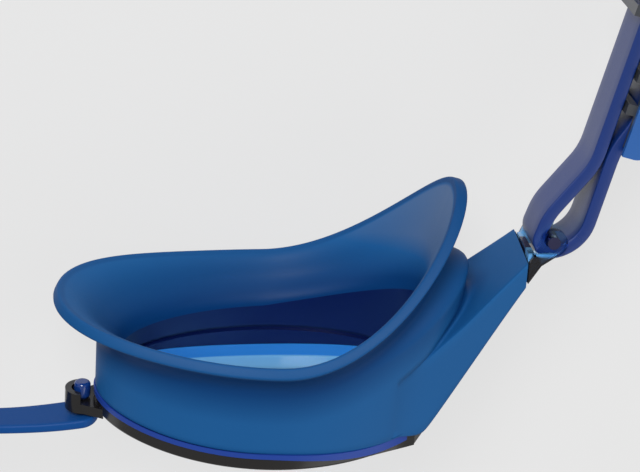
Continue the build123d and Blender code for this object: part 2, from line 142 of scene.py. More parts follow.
class Graph:
    """A node tree, emptied and then filled node by node."""

    def __init__(self, tree: bpy.types.NodeTree) -> None:
        """Empty the tree."""
        self.tree = tree
        tree.nodes.clear()

    def node(self, kind: str, settings: Values | None = None, inputs: Values | None = None) -> Any:
        """Add a node, set it up and feed it.

        Args:
            kind: the node's type.
            settings: its settings, set before its sockets; a ramp takes "stops" as (place, colour) pairs.
            inputs: socket name or index to a value, a Number or an output socket.

        Returns:
            The new node.
        """
        made = self.tree.nodes.new(kind)
        for key, value in (settings or {}).items():
            if key == "stops":
                self.fill_ramp(made.color_ramp, value)
            else:
                setattr(made, key, value)
        for key, value in (inputs or {}).items():
            self.feed(made, key, value)
        return made

    def value(self, kind: str, settings: Values, inputs: Values, output: int | str = 0) -> Number:
        """Add a node and wrap one of its outputs as a number."""
        return Number(self, self.node(kind, settings, inputs).outputs[output])

    @staticmethod
    def fill_ramp(ramp: bpy.types.ColorRamp, stops: list[tuple[float, Colour]]) -> None:
        """Give a colour ramp its stops.

        Args:
            ramp: a new ramp, with two stops.
            stops: (place, colour) pairs, in rising order.
        """
        for _ in stops[2:]:
            ramp.elements.new(0.5)
        for element, (place, colour) in zip(ramp.elements, stops):
            element.position = place
            element.color = colour

    def feed(self, target: bpy.types.Node, key: Any, value: Any) -> None:
        """Link a socket to a value's socket, or set it to a plain value.

        Args:
            target: the node that takes the value.
            key: the input's name or index.
            value: a Number, an output socket or a plain value.
        """
        if isinstance(value, Number):
            value = value.socket
        if isinstance(value, bpy.types.NodeSocket):
            self.tree.links.new(value, target.inputs[key])
        else:
            target.inputs[key].default_value = value

    def place(self) -> Any:
        """Object coordinates."""
        return self.node("ShaderNodeTexCoord").outputs["Object"]

    def coordinates(self) -> list[Number]:
        """Object coordinates as three numbers."""
        parts = self.node("ShaderNodeSeparateXYZ", {}, {0: self.place()}).outputs
        return [Number(self, part) for part in parts]

    def attribute(self, name: str) -> Number:
        """Number that the mesh carries at each point under a name."""
        return self.value("ShaderNodeAttribute", {"attribute_name": name}, {}, "Fac")

    def noise(self, scale: float, detail: float) -> Number:
        """Noise over the object, from 0 to 1, with so many cells for each metre and so many octaves."""
        inputs = {"Vector": self.place(), "Scale": scale, "Detail": detail}
        return self.value("ShaderNodeTexNoise", {}, inputs)

    def step(self, value: Number, low: float, high: float) -> Number:
        """Smooth step of a value from 0 at the low end to 1 at the high end."""
        ends = {"Value": value, "From Min": low, "From Max": high}
        return self.value("ShaderNodeMapRange", {"interpolation_type": "SMOOTHSTEP"}, ends)

    def colour_mix(self, share: Any, first: Any, second: Any) -> Any:
        """Colour between two others, the first where the share is 0 and the second where it is 1."""
        return self.node("ShaderNodeMix", {"data_type": "RGBA"}, {0: share, 6: first, 7: second}).outputs[2]

    def seen(self) -> Number:
        """1 for a ray from the camera or through a clear face, 0 for any other ray."""
        path = self.node("ShaderNodeLightPath")
        return Number(self, path.outputs["Is Camera Ray"]) + Number(self, path.outputs["Is Transmission Ray"])


class Paint(Graph):
    """The node tree of one material, round a Principled shader."""

    def __init__(self, name: str) -> None:
        """Make the material.

        Args:
            name: its name.
        """
        self.material = bpy.data.materials.new(name)
        self.material.use_nodes = True
        super().__init__(self.material.node_tree)
        self.shader = self.node("ShaderNodeBsdfPrincipled")
        self.output = self.node("ShaderNodeOutputMaterial", {}, {"Surface": self.shader.outputs[0]})

    def set(self, **values: Any) -> None:
        """Feed the Principled shader's sockets, with underscores for spaces."""
        for key, value in values.items():
            self.feed(self.shader, key.replace("_", " "), value)

    def bump(self, height: Number, depth: float) -> Any:
        """Normal from a height of 0 to 1 that reaches so many metres deep."""
        inputs = {"Strength": 1.0, "Distance": depth, "Height": height}
        return self.node("ShaderNodeBump", {}, inputs).outputs[0]

    def blend_in(self, share: Number, kind: str, inputs: Values) -> None:
        """Show another shader over the Principled one.

        Args:
            share: the other shader's share, which may vary over the surface.
            kind: the other shader's type.
            inputs: what its sockets take.
        """
        other = self.node(kind, {}, inputs).outputs[0]
        mixed = self.node("ShaderNodeMixShader", {}, {0: share, 1: self.shader.outputs[0], 2: other})
        self.feed(self.output, "Surface", mixed.outputs[0])


# ---- finishes ----


def srgb(red: int, green: int, blue: int) -> Colour:
    """Linear colour of a display colour: v / 12.92 where dark, else ((v + 0.055) / 1.055) to the power 2.4.

    Args:
        red: red from 0 to 255.
        green: green.
        blue: blue.

    Returns:
        The colour, opaque.
    """
    parts = np.array([red, green, blue]) / 255
    return (*np.where(parts <= 0.04045, parts / 12.92, ((parts + 0.055) / 1.055) ** 2.4).tolist(), 1.0)


@dataclass(frozen=True)
class Finish:
    """A named finish. Each kind has its own shader; its roughness is the least one, and spread adds to it."""

    name: str

    def paint(self, graph: Paint) -> None:
        """Set up the shader.

        Args:
            graph: the new material's nodes.
        """
        raise NotImplementedError

    def make(self) -> bpy.types.Material:
        """Build the material."""
        graph = Paint(self.name)
        self.paint(graph)
        return graph.material


@dataclass(frozen=True)
class Silicone(Finish):
    """Soft moulded silicone with a fine grain, in two close colours, with painted shade where the mesh marks
    it dark and a painted sheen where it marks it pale.
    """

    colour: Colour
    deep: Colour
    roughness: float = 0.37
    spread: float = 0.1
    grain: float = 0.000012
    specular: float = 0.4
    coat: float = 0.0
    thick: Colour | None = None
    thin: Colour | None = None

    def paint(self, graph: Paint) -> None:
        """Set up the shader; the mesh's painted light goes from 0, full painted shade, over 1, the plain
        colours, to 2, full painted sheen.
        """
        cloud = graph.noise(scale=38.0, detail=4.0)
        fine = graph.noise(scale=2600.0, detail=2.0)
        colour = graph.colour_mix(cloud, self.deep, self.colour)
        # Painted shade and painted sheen: a mesh attribute blends the colour towards a dark shade colour
        # below 1 and a pale grey sheen colour above 1.
        if self.thick:
            tone = graph.attribute("tone")
            colour = graph.colour_mix(tone - 1.0, graph.colour_mix(tone, self.thick, colour), self.thin)
        graph.set(
            Base_Color=colour,
            Roughness=self.roughness + self.spread * fine,
            Normal=graph.bump(fine, self.grain),
            Specular_IOR_Level=self.specular,
            Coat_Weight=self.coat,
            Coat_Roughness=0.3,
        )


@dataclass(frozen=True)
class HardPlastic(Finish):
    """Moulded rigid plastic with a polished or a satin face."""

    colour: Colour
    deep: Colour
    roughness: float = 0.17
    spread: float = 0.08
    coat: float = 0.3
    ripple: float = 0.00001

    def paint(self, graph: Paint) -> None:
        """Set up the shader."""
        cloud = graph.noise(scale=60.0, detail=3.0)
        flow = graph.noise(scale=320.0, detail=2.0)
        graph.set(
            Base_Color=graph.colour_mix(cloud, self.deep, self.colour),
            Roughness=self.roughness + self.spread * flow,
            Normal=graph.bump(flow, self.ripple),
            Coat_Weight=self.coat,
            Coat_Roughness=0.08,
        )


@dataclass(frozen=True)
class RingPlastic(Finish):
    """Satin plastic in two colours: bright on the line round the cup, dark on the sleeve inside it."""

    outside: Colour
    inside: Colour
    outline: EyeOutline
    place: Placement
    border: tuple[float, float] = (0.98, 1.0)
    shadow: float = 0.8
    roughness: float = 0.27
    spread: float = 0.06

    def paint(self, graph: Paint) -> None:
        """Set up the shader: the colour changes on the ellipse (x / a) squared + (z / b) squared = 1."""
        x, _, z = graph.coordinates()
        across = (abs(x) - self.outline.centre_x * MM) * (1 / (self.outline.half_width * MM))
        up = (z - self.place.z) * (1 / (self.outline.half_height * MM))
        cloud = graph.noise(scale=60.0, detail=3.0)
        darkest = (*(self.shadow * part for part in self.inside[:3]), 1.0)
        sleeve = graph.colour_mix(cloud, darkest, self.inside)
        graph.set(
            Base_Color=graph.colour_mix(graph.step(across**2 + up**2, *self.border), sleeve, self.outside),
            Roughness=self.roughness + self.spread * cloud,
            Specular_IOR_Level=0.3,
        )


@dataclass(frozen=True)
class ClearPlastic(Finish):
    """Tinted clear plastic with a painted glow by its rim: a mostly opaque pale colour over the back by the
    rim stands for light seen through the lens, and the rim's own wall takes the edge colour.
    """

    tint: Colour
    deep: Colour
    edge: Colour
    glow: Colour
    index: float = 1.2
    roughness: float = 0.02
    spread: float = 0.01
    glow_share: float = 0.8
    glow_at: tuple[float, float] = (0.0, 0.4)
    edge_at: tuple[float, float] = (0.6, 0.8)

    def paint(self, graph: Paint) -> None:
        """Set up the shader; the mesh's rim goes from 0 in the middle to 1 on the rim's own wall."""
        cloud = graph.noise(scale=25.0, detail=2.0)
        graph.set(
            Base_Color=graph.colour_mix(cloud, self.deep, self.tint),
            Roughness=self.roughness + self.spread * cloud,
            Transmission_Weight=1.0,
            IOR=self.index,
        )
        # Painted glow: towards the rim a mostly opaque pale colour stands for the light seen through the
        # lens; the rim's own wall takes the edge colour.
        rim = graph.attribute("rim")
        colour = graph.colour_mix(graph.step(rim, *self.edge_at), self.glow, self.edge)
        solid = {"Base Color": colour, "Roughness": 0.12, "Coat Weight": 0.5}
        graph.blend_in(self.glow_share * graph.step(rim, *self.glow_at), "ShaderNodeBsdfPrincipled", solid)


@dataclass(frozen=True)
class ClipPlastic(Finish):
    """Clear tinted plastic, with a root where the black core ends inside it, painted in three bands of
    colour: a dark purple middle, a pale blue band of painted light that stands for light seen through the
    clear lugs, and black outside.

    The root ends at a Y, and its bands change at levels above and below the middle plane, in millimetres.
    """

    tint: Colour
    bands: tuple[Colour, Colour, Colour]
    place: Placement
    root_y: tuple[float, float] = (12.1, 12.7)
    levels: tuple[float, float] = (2.5, 5.5)
    tallest: float = 10.0
    border: float = 0.01
    share: float = 0.9
    index: float = 1.08
    roughness: float = 0.03
    spread: float = 0.02

    def paint(self, graph: Paint) -> None:
        """Set up the shader: a ramp on the distance from the middle plane gives the root its bands."""
        _, y, z = graph.coordinates()
        root = 1 - graph.step(y - self.place.y, *(edge * MM for edge in self.root_y))
        stops = []
        for level, below, above in zip(self.levels, self.bands, self.bands[1:]):
            stops += [(level / self.tallest, below), (level / self.tallest + self.border, above)]
        height = abs(z - self.place.z) * (1 / (self.tallest * MM))
        # The second, pale blue band is painted light: it stands for the bright light seen through the clear
        # lugs.
        band = graph.node("ShaderNodeValToRGB", {"stops": stops}, {0: height}).outputs[0]
        rough = self.roughness + self.spread * graph.noise(scale=90.0, detail=2.0)
        graph.set(Base_Color=self.tint, Roughness=rough, Transmission_Weight=1.0, IOR=self.index)
        solid = {"Base Color": band, "Roughness": 0.2, "Coat Weight": 0.3}
        graph.blend_in(self.share * root, "ShaderNodeBsdfPrincipled", solid)


def finishes(place: Placement) -> dict[str, bpy.types.Material]:
    """Make every finish.

    Args:
        place: where the goggles stand, for the two finishes that change colour at a place.

    Returns:
        The materials, by the piece that they are for.
    """
    kinds = {
        # The gasket's two last colours are painted light: a dark painted shade and a pale grey painted sheen.
        "gasket": Silicone(
            "soft_blue_silicone", srgb(30, 97, 158), srgb(24, 89, 149), roughness=0.47, specular=0.16,
            thick=srgb(2, 60, 117), thin=srgb(86, 116, 158),
        ),
        "bridge": Silicone("bridge_silicone", srgb(22, 80, 150), srgb(16, 70, 138), specular=0.12),
        "strap": Silicone("strap_silicone", srgb(18, 54, 128), srgb(12, 46, 114), roughness=0.31, coat=0.3),
        # The lens's glow colour is painted light: it stands for the light seen through the lens by its rim.
        "lens": ClearPlastic(
            "clear_blue_lens", srgb(122, 188, 246), srgb(112, 180, 242),
            edge=srgb(50, 146, 236), glow=srgb(136, 206, 252),
        ),
        "ring": RingPlastic("royal_ring", srgb(34, 68, 158), srgb(9, 27, 86), EyeOutline(), place),
        "frame": HardPlastic("smoke_frame", srgb(34, 32, 31), srgb(24, 22, 22)),
        # The clip's pale blue band is painted light, for the light seen through its clear lugs.
        "strap_clip": ClipPlastic(
            "clear_blue_clip", srgb(190, 222, 246),
            (srgb(34, 32, 62), srgb(120, 190, 244), srgb(22, 20, 24)), place,
        ),
        "strap_pin": HardPlastic("dark_pin", srgb(30, 30, 72), srgb(20, 20, 56), roughness=0.37, coat=0.0),
        "buckle_frame": HardPlastic("smoke_buckle", srgb(70, 74, 78), srgb(56, 58, 64), roughness=0.27),
        "buckle_cover": HardPlastic(
            "bright_blue_cover", srgb(42, 104, 178), srgb(34, 92, 168), roughness=0.25
        ),
        "nose_stud": HardPlastic("stud_blue", srgb(24, 70, 150), srgb(14, 50, 120), roughness=0.05, coat=0.8),
    }
    return {piece: kind.make() for piece, kind in kinds.items()}


# ---- formulas and meshes ----


def ramp(value: np.ndarray, low: float, high: float) -> np.ndarray:
    """Share of the way from the low end, 0, to the high end, 1, and level past both."""
    return np.clip((value - low) / (high - low), 0, 1)


def smooth_step(value: np.ndarray, low: float, high: float) -> np.ndarray:
    """Smooth step between the ends: 3 s squared less 2 s cubed, where s is the share of the way."""
    s = ramp(value, low, high)
    return s * s * (3 - 2 * s)


def unit(way: np.ndarray) -> np.ndarray:
    """Ways made one long."""
    return way / np.linalg.norm(way, axis=-1, keepdims=True)


def pair(first: Any, second: Any) -> np.ndarray:
    """Plane points from two coordinates, each one number or an array."""
    return np.stack(np.broadcast_arrays(first, second), -1)


def straight(a: np.ndarray, b: np.ndarray, s: Any) -> np.ndarray:
    """Points on the straight runs between rows of plane points, at the steps s of each run: a + s (b - a)."""
    return a[:, None] + (b - a)[:, None] * np.asarray(s)[..., None]


def bend(a: np.ndarray, b: np.ndarray, leave: np.ndarray, arrive: np.ndarray, s: np.ndarray) -> np.ndarray:
    """Cubics between rows of plane points, whose end slopes are the given ways times the ends' distance.

    With slopes m and n a point is (2 s^3 - 3 s^2 + 1) a + (s^3 - 2 s^2 + s) m + (3 s^2 - 2 s^3) b +
    (s^3 - s^2) n.

    Args:
        a: points where the curves start, one for each row.
        b: points where they end.
        leave: ways in which they leave.
        arrive: ways in which they arrive.
        s: steps from 0 to 1.

    Returns:
        Array (rows, steps, 2).
    """
    size = np.linalg.norm(b - a, axis=-1, keepdims=True)
    m, n = leave * size, arrive * size
    s = s[None, :, None]
    ends = (2 * s**3 - 3 * s**2 + 1) * a[:, None] + (3 * s**2 - 2 * s**3) * b[:, None]
    return ends + (s**3 - 2 * s**2 + s) * m[:, None] + (s**3 - s**2) * n[:, None]


EDGE_POINTS = 5


def rounded_bar(half_width: Any, half_thickness: float, edge: Any, between: int) -> np.ndarray:
    """Closed sections of a flat band: a quarter circle on each edge, centre plus radius times (cos, sin).

    One half of the section is laid out, and the other half is the same turned by half a turn.

    Args:
        half_width: half of the band's width, one number or a column with one for each section.
        half_thickness: half of its thickness.
        edge: radius of its edges, given as the width is.
        between: points between two edges on a broad face.

    Returns:
        Array (..., points, 2) of (through the thickness, across the width).
    """
    quarter = np.linspace(0, math.pi / 2, EDGE_POINTS)
    turn = np.concatenate([quarter, quarter + math.pi / 2, np.full(between, math.pi)])
    through = np.repeat([1, -1], [EDGE_POINTS, EDGE_POINTS + between])
    across = np.concatenate([np.ones(2 * EDGE_POINTS), np.linspace(1, -1, between + 2)[1:-1]])
    turn, through, across = (
        np.concatenate(halves) for halves in ((turn, turn + math.pi), (through, -through), (across, -across))
    )
    out = through * (half_thickness - edge) + edge * np.cos(turn)
    return pair(out, across * (half_width - edge) + edge * np.sin(turn))


def grid_faces(rows: int, columns: int, ring: bool = False) -> np.ndarray:
    """Quads over rows of points that are numbered row by row, where each row is a closed loop.

    Args:
        rows: rows of points.
        columns: points in a row.
        ring: whether the last row joins the first.

    Returns:
        Array of quads, four point numbers each.
    """
    row = np.arange(rows if ring else rows - 1)[:, None]
    column = np.arange(columns)[None]
    this, following, aside = row * columns, (row + 1) % rows * columns, (column + 1) % columns
    return np.stack([this + column, this + aside, following + aside, following + column], -1).reshape(-1, 4)


def tube_faces(rows: int, columns: int) -> Faces:
    """Faces of a tube, a closed loop in each row of points, with a cap on each end."""
    cap = np.arange(columns)
    return [*grid_faces(rows, columns).tolist(), cap[::-1].tolist(), (cap + (rows - 1) * columns).tolist()]


def signed_volume(points: np.ndarray, faces: Faces) -> float:
    """Volume inside a closed mesh, negative where its faces point inwards.

    Each face is fanned into triangles, and a triangle adds a sixth of the triple product of its corners.

    Args:
        points: the mesh's points.
        faces: its faces.

    Returns:
        The volume, in the points' unit cubed.
    """
    total = 0.0
    for size in {len(face) for face in faces}:
        corners = points[np.array([face for face in faces if len(face) == size])]
        for k in range(1, size - 1):
            cross = np.cross(corners[:, k], corners[:, k + 1])
            total += float(np.einsum("ij,ij->", corners[:, 0], cross)) / 6
    return total


def add_object(name: str, data: Any) -> bpy.types.Object:
    """Put a new object with its data into the scene."""
    made = bpy.data.objects.new(name, data)
    bpy.context.scene.collection.objects.link(made)
    return made


def dress(piece: bpy.types.Object, finish: bpy.types.Material) -> None:
    """Give a piece its one finish."""
    piece.data.materials.clear()
    piece.data.materials.append(finish)


@dataclass(frozen=True)
class Placement:
    """Where the goggles' own frame stands in the row frame."""

    y: float
    z: float

    @classmethod
    def from_frame(cls, lens_front_y: float) -> Placement:
        """Read the place off the left lens, whose front and middle the goggles' frame is set by.

        Args:
            lens_front_y: Y of the lens's front in the goggles' frame, in millimetres.

        Returns:
            The placement.
        """
        low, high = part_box("left_lens")
        return cls(y=low.y - lens_front_y * MM, z=(low.z + high.z) / 2)

    def to_row(self, points: np.ndarray, side: Side = Side.LEFT) -> np.ndarray:
        """Points in the row frame, in metres, from points on the left side; RIGHT mirrors them."""
        return points * MM * (side.value, 1, 1) + (0, self.y, self.z)

    def point(self, x: float, y: float, z: float) -> Vector:
        """One point in the row frame."""
        return Vector(self.to_row(np.array([x, y, z])))


@dataclass
class Piece:
    """A modelled piece, whose edges stay sharp where they turn by more degrees than smooth."""

    label: ClassVar[str]
    smooth: ClassVar[float] = 30.0
    place: Placement
    finish: bpy.types.Material

    def surface(self) -> Surface:
        """Work out the piece's surface.

        Returns:
            Points on the left side in millimetres, faces, and the numbers by name that the finish reads.
        """
        raise NotImplementedError

    def settle(self, made: bpy.types.Object, side: Side) -> None:
        """Tie the piece to the CAD.

        Args:
            made: the new object.
            side: its side of the goggles.
        """
        raise NotImplementedError

    def build(self, side: Side = Side.LEFT) -> bpy.types.Object:
        """Make the piece with its faces outwards, dress it and tie it to the CAD.

        Args:
            side: its side of the goggles.

        Returns:
            The new object.
        """
        points, faces, marks = self.surface()
        placed = self.place.to_row(points.reshape(-1, 3), side)
        if signed_volume(placed, faces) < 0:
            faces = [face[::-1] for face in faces]
        name = self.label.format(side.word)
        mesh = bpy.data.meshes.new(name)
        mesh.from_pydata(placed.tolist(), [], faces)
        mesh.polygons.foreach_set("use_smooth", np.ones(len(mesh.polygons), bool))
        mesh.validate()
        mesh.set_sharp_from_angle(angle=math.radians(self.smooth))
        for key, values in marks.items():
            mesh.attributes.new(key, "FLOAT", "POINT").data.foreach_set("value", values.astype(np.float32))
        made = add_object(name, mesh)
        dress(made, self.finish)
        self.settle(made, side)
        return made


# ---- shared outlines ----


@dataclass(frozen=True)
class EyeOutline:
    """Egg-shaped outline of the cup, seen from the front."""

    nose_x: float = 16.0
    width: float = 54.5
    half_height: float = 16.8
    egg: float = 0.03

    @property
    def half_width(self) -> float:
        """Half of the cup's width."""
        return self.width / 2

    @property
    def centre_x(self) -> float:
        """X of the cup's middle."""
        return self.nose_x + self.half_width

    def outward(self, t: np.ndarray) -> np.ndarray:
        """Unit normals (x, z) of the outline: its tangent turned by a right angle."""
        x = self.half_height * (np.cos(t) + self.egg * np.cos(2 * t))
        return unit(pair(x, self.half_width * np.sin(t)))

    def points(self, t: np.ndarray, grow: Any = 0.0) -> np.ndarray:
        """Points (x, z): x goes as a cosine, and z as a sine that the egg factor makes fuller at the temple.

        Args:
            t: places round the outline.
            grow: how far out along the normals the points stand.

        Returns:
            Array (..., 2).
        """
        x = self.centre_x + self.half_width * np.cos(t)
        z = self.half_height * np.sin(t) * (1 + self.egg * np.cos(t))
        return pair(x, z) + np.asarray(grow)[..., None] * self.outward(t)

    def carry(self, t: np.ndarray, flat: np.ndarray) -> np.ndarray:
        """Carry sections round the outline: each point stands off the outline along its normal.

        Args:
            t: places round the outline.
            flat: array (len(t), steps, 2) of (outwards, y).

        Returns:
            Array (len(t), steps, 3).
        """
        place = self.points(t[:, None], flat[..., 0])
        return np.stack([place[..., 0], flat[..., 1], place[..., 1]], -1)


@dataclass(frozen=True)
class FaceDome:
    """The dome that the front parts lie on, and the saddle-shaped back edge of the sleeve."""

    outline: EyeOutline = EyeOutline()
    apex_y: float = -20.7
    radius: float = 80.0
    sleeve_back: tuple[float, float, float, float] = (-5.75, 0.75, 4.1, 4.0)
    advance_rise: tuple[float, float] = (-0.09, 0.64)
    advance_fall: tuple[float, float] = (0.78, 0.9)

    def y(self, x: np.ndarray, z: np.ndarray, radius: Any) -> np.ndarray:
        """Y at plan places x and z of a sphere with this radius about the dome's centre."""
        across = (x - self.outline.centre_x) ** 2 + z**2
        return self.apex_y + self.radius - np.sqrt(radius**2 - across)

    def over(self, t: np.ndarray, grow: Any, radius: Any) -> np.ndarray:
        """Y of such a sphere over the outline grown by an offset."""
        return self.y(*self.outline.points(t, grow).T, radius)

    def advance(self, t: np.ndarray) -> np.ndarray:
        """Share by which the edges behind the bezel come forward: one smooth step in c less another."""
        c = np.cos(t)
        return smooth_step(c, *self.advance_rise) - smooth_step(c, *self.advance_fall)

    def sleeve_back_y(self, t: np.ndarray) -> np.ndarray:
        """Y of the sleeve's back edge: a + b c towards the nose, a + d c + e c squared towards the temple."""
        level, nose, first, second = self.sleeve_back
        c = np.cos(t)
        return level + np.where(c > 0, first * c + second * c * c, nose * c)


@dataclass(frozen=True)
class SideArm:
    """Soft cover of the side arm, which tapers from the cup's temple wall to the strap's clip.

    In plan the front is a straight line and the back a line of straight runs. The half height is a quartic in
    the distance from the neck.
    """

    front_root: tuple[float, float] = (66.9, -15.8)
    front_end: tuple[float, float] = (84.0, 10.5)
    back_line: Plan = ((55.0, -8.8), (60.8, -6.2), (66.0, -2.8), (72.2, 2.2), (81.0, 10.6))
    end_x: float = 81.7
    core_depth: float = 4.04
    core_margin: float = 1.1
    neck_x: float = 73.0
    taper: tuple[float, ...] = (1.36665e-05, 3.85646e-04, -5.85222e-04, -0.336511, 9.08918)
    corner: float = 0.45
    merge: float = 0.3
    merge_power: tuple[float, float] = (2.5, 3.5)
    ease: float = 1.0

    def front_y(self, x: np.ndarray) -> np.ndarray:
        """Y of the arm's straight front at x."""
        slope = (self.front_end[1] - self.front_root[1]) / (self.front_end[0] - self.front_root[0])
        return self.front_root[1] + slope * (x - self.front_root[0])

    def back_y(self, x: np.ndarray) -> np.ndarray:
        """Y of the arm's back at x, along its plan line, whose last run goes on straight past its end."""
        line = np.array(self.back_line)
        slope = (line[-1, 1] - line[-2, 1]) / (line[-1, 0] - line[-2, 0])
        return np.interp(x, line[:, 0], line[:, 1]) + slope * np.maximum(x - line[-1, 0], 0)

    def half_height(self, x: np.ndarray) -> np.ndarray:
        """Half height at x: the quartic."""
        return np.polyval(self.taper, x - self.neck_x)


@dataclass
class CupPiece(Piece):
    """A piece that is carried round the eye's outline and lies on the dome."""

    dome: FaceDome = FaceDome()
    rows: int = 144

    @property
    def outline(self) -> EyeOutline:
        """The eye's outline."""
        return self.dome.outline

    def turns(self) -> np.ndarray:
        """Places of the rows round the outline."""
        return np.linspace(0, 2 * math.pi, self.rows, endpoint=False)


# ---- eye cup ----


@dataclass
class EyeCup(CupPiece):
    """One soft eye cup in one closed surface: wall, flared skirt, lip, inner face, recess and side arm.

    A rim's size with three values is for the nose, the top and the temple, and rim_rise for nose and temple.
    """

    label: ClassVar[str] = "{}_soft_cup"
    smooth: ClassVar[float] = 50.0
    arm: SideArm = SideArm()
    front_radius: float = 77.2
    front_advance: float = 1.1
    margin_radius: tuple[float, float] = (78.3, 79.8)
    margin_x: tuple[float, float] = (60.8, 67.0)
    wall: float = 1.6
    inner_grow: float = -3.9
    lean: float = 3.0
    foot_lean: float = 0.3
    shoulder_y: float = -5.0
    shoulder_rise: float = 13.5
    shoulder_power: float = 2.5
    shoulder_inset: float = 3.4
    middle_rise: float = 0.5
    pinch: float = 0.24
    swell: tuple[float, float] = (0.22, 0.1)
    rim_out: tuple[float, float, float] = (6.6, 2.3, 0.8)
    rim_out_power: float = 3.0
    rim_top: float = 1.0
    rim_rise: tuple[float, float] = (2.2, 21.2)
    rim_turn: tuple[float, float, float] = (66.0, 56.0, 18.0)
    near_drop: float = 1.2
    near_out: float = 1.2
    lip: float = 1.9
    lip_square: float = 0.4
    skirt: float = 1.8
    # Where the crease above the side arm lies, as (degrees from the temple, share of the wall's depth).
    crease: Plan = ((0, 0.76), (25, 0.78), (35, 0.74), (45, 0.69), (55, 0.66), (75, 0.62))
    # Columns of points round a section, and the shares at which the short runs by the sleeve have theirs.
    side_columns: int = 8
    wall_columns: int = 13
    skirt_steps: int = 11
    lip_columns: int = 15
    inner_steps: tuple[int, int] = (13, 15)
    first_share: float = 0.03
    recess_shares: tuple[float, ...] = (0.12, 0.5, 1.0)
    sleeve_shares: tuple[float, ...] = (0.05, 0.5, 1.0)
    toe_shares: tuple[float, ...] = (0.5, 0.93)
    # Rows of points on each side of the arm's middle, of which the outer ones are for its margin and corner.
    arm_rows: int = 20
    margin_rows: int = 3
    corner_rows: int = 2
    arm_steps: int = 44
    # Painted light, from 0, painted shade, over 1 to 2, painted sheen, and the distances over which it
    # changes.
    lip_shade: tuple[float, float] = (4.2, 9.5)
    temple_shade: float = 0.7
    flare_shade: tuple[float, float] = (2.0, 9.0)
    lip_tone: float = 0.65
    lip_deeper: float = 0.35
    root_tone: float = 0.1
    arm_shade: float = 0.5
    arm_shade_power: float = 1.5

    @staticmethod
    def along(c: np.ndarray, ends: tuple[float, float, float], power: float = 2.0) -> np.ndarray:
        """Value round the eye, from nose through top to temple, with a power of the cosine c."""
        nose, top, temple = ends
        return top + (np.where(c > 0, temple, nose) - top) * np.abs(c) ** power

    def front_y(self, t: np.ndarray) -> np.ndarray:
        """Y of the wall's front edge: the dome, or the back of the hard arm where that lies further back."""
        radius = self.front_radius + self.front_advance * self.dome.advance(t)
        behind = self.arm.front_y(self.outline.points(t)[:, 0]) + self.arm.core_depth
        return np.maximum(self.dome.over(t, 0.0, radius), behind)

    def wall_shares(self, t: np.ndarray) -> np.ndarray:
        """Shares of the wall's depth at which its columns lie: one column follows the crease above the arm.

        Args:
            t: places round the outline.

        Returns:
            Array (len(t), wall_columns) of shares from the front edge, 0, to the shoulder, 1.
        """
        turn = np.degrees(np.abs((t + math.pi) % (2 * math.pi) - math.pi))
        crease = np.interp(turn, *np.array(self.crease).T)[:, None]
        before = np.linspace(self.first_share, 1, self.side_columns + 1)
        after = np.linspace(0, 1, self.wall_columns - self.side_columns + 1)[1:-1]
        return np.concatenate([before * crease, crease + (1 - crease) * after], axis=1)

    def section(self, t: np.ndarray) -> np.ndarray:
        """Closed sections of the cup: wall, skirt, lip, inner face and the recess for the sleeve.

        Straight runs and cubics join stations that shift round the eye with powers of c. The lip's round end
        is its centre plus half its thickness times (cosine, sine), each to a power that squares it off.

        Args:
            t: places round the outline.

        Returns:
            Array (len(t), steps, 2) of (outwards, y).
        """
        c, near = np.cos(t), np.maximum(np.sin(t), 0)
        temple = np.maximum(c, 0) ** 2
        lean = self.lean * temple
        shoulder_y = self.shoulder_y + self.shoulder_rise * np.maximum(c, 0) ** self.shoulder_power
        shoulder = pair(lean, shoulder_y)
        rim_out = self.along(c, self.rim_out, self.rim_out_power) + self.near_out * near
        rise = np.where(c > 0, self.rim_rise[1], self.rim_rise[0])
        turn = np.radians(self.along(c, self.rim_turn))
        along, across = pair(np.sin(turn), np.cos(turn)), pair(np.cos(turn), -np.sin(turn))
        half = self.lip / 2
        tip = pair(rim_out, self.rim_top + rise * c * c - self.near_drop * near) - half * along
        outer, inner = tip + half * across, tip - half * across
        middle = pair(
            lean + (self.swell[0] + self.swell[1] * temple) * (rim_out - lean) - self.shoulder_inset * temple,
            shoulder_y + (self.middle_rise - self.pinch * temple) * (outer[:, 1] - shoulder_y),
        )
        inside = middle + self.skirt * pair(-np.cos(turn / 2), np.sin(turn / 2))
        front_y, sleeve_back = self.front_y(t), self.dome.sleeve_back_y(t)
        wall_front, end = pair(lean * self.foot_lean, front_y), pair(self.inner_grow, sleeve_back)
        step, foot = pair(-self.wall, sleeve_back), pair(-self.wall, front_y)
        through, back_through = unit(outer - shoulder), unit(end - inner)
        up = np.linspace(0, 1, self.skirt_steps, endpoint=False)
        into, down = (np.linspace(0, 1, steps + 1)[1:] for steps in self.inner_steps)
        angle = np.linspace(0, math.pi, self.lip_columns)[None, :, None]
        sideways = np.sign(np.cos(angle)) * np.abs(np.cos(angle)) ** self.lip_square
        onwards = np.sin(angle) ** self.lip_square
        parts = [
            straight(wall_front, shoulder, self.wall_shares(t)),
            bend(shoulder, middle, unit(shoulder - wall_front), through, up),
            bend(middle, outer, through, along, up),
            tip[:, None] + half * (sideways * across[:, None] + onwards * along[:, None]),
            bend(inner, inside, -along, back_through, into),
            bend(inside, end, back_through, np.array([0.0, -1.0]), down),
            straight(end, step, [self.recess_shares]),
            straight(step, foot, [self.sleeve_shares]),
            straight(foot, wall_front, [self.toe_shares]),
        ]
        return np.concatenate(parts, axis=1)

    def tones(self, t: np.ndarray, flat: np.ndarray) -> np.ndarray:
        """Painted light of the cup: painted shade under the lip, on the lip and down by the sleeve, and a
        painted sheen in the temple's flare.

        Outside, the painted light rises with the depth below the lip; inside, with the height above the
        sleeve.

        Args:
            t: places round the outline.
            flat: the closed sections there.

        Returns:
            Array (len(t), steps).
        """
        temple = np.maximum(np.cos(t)[:, None], 0) ** 2
        y, tip = flat[..., 1], self.wall_columns + 2 * self.skirt_steps
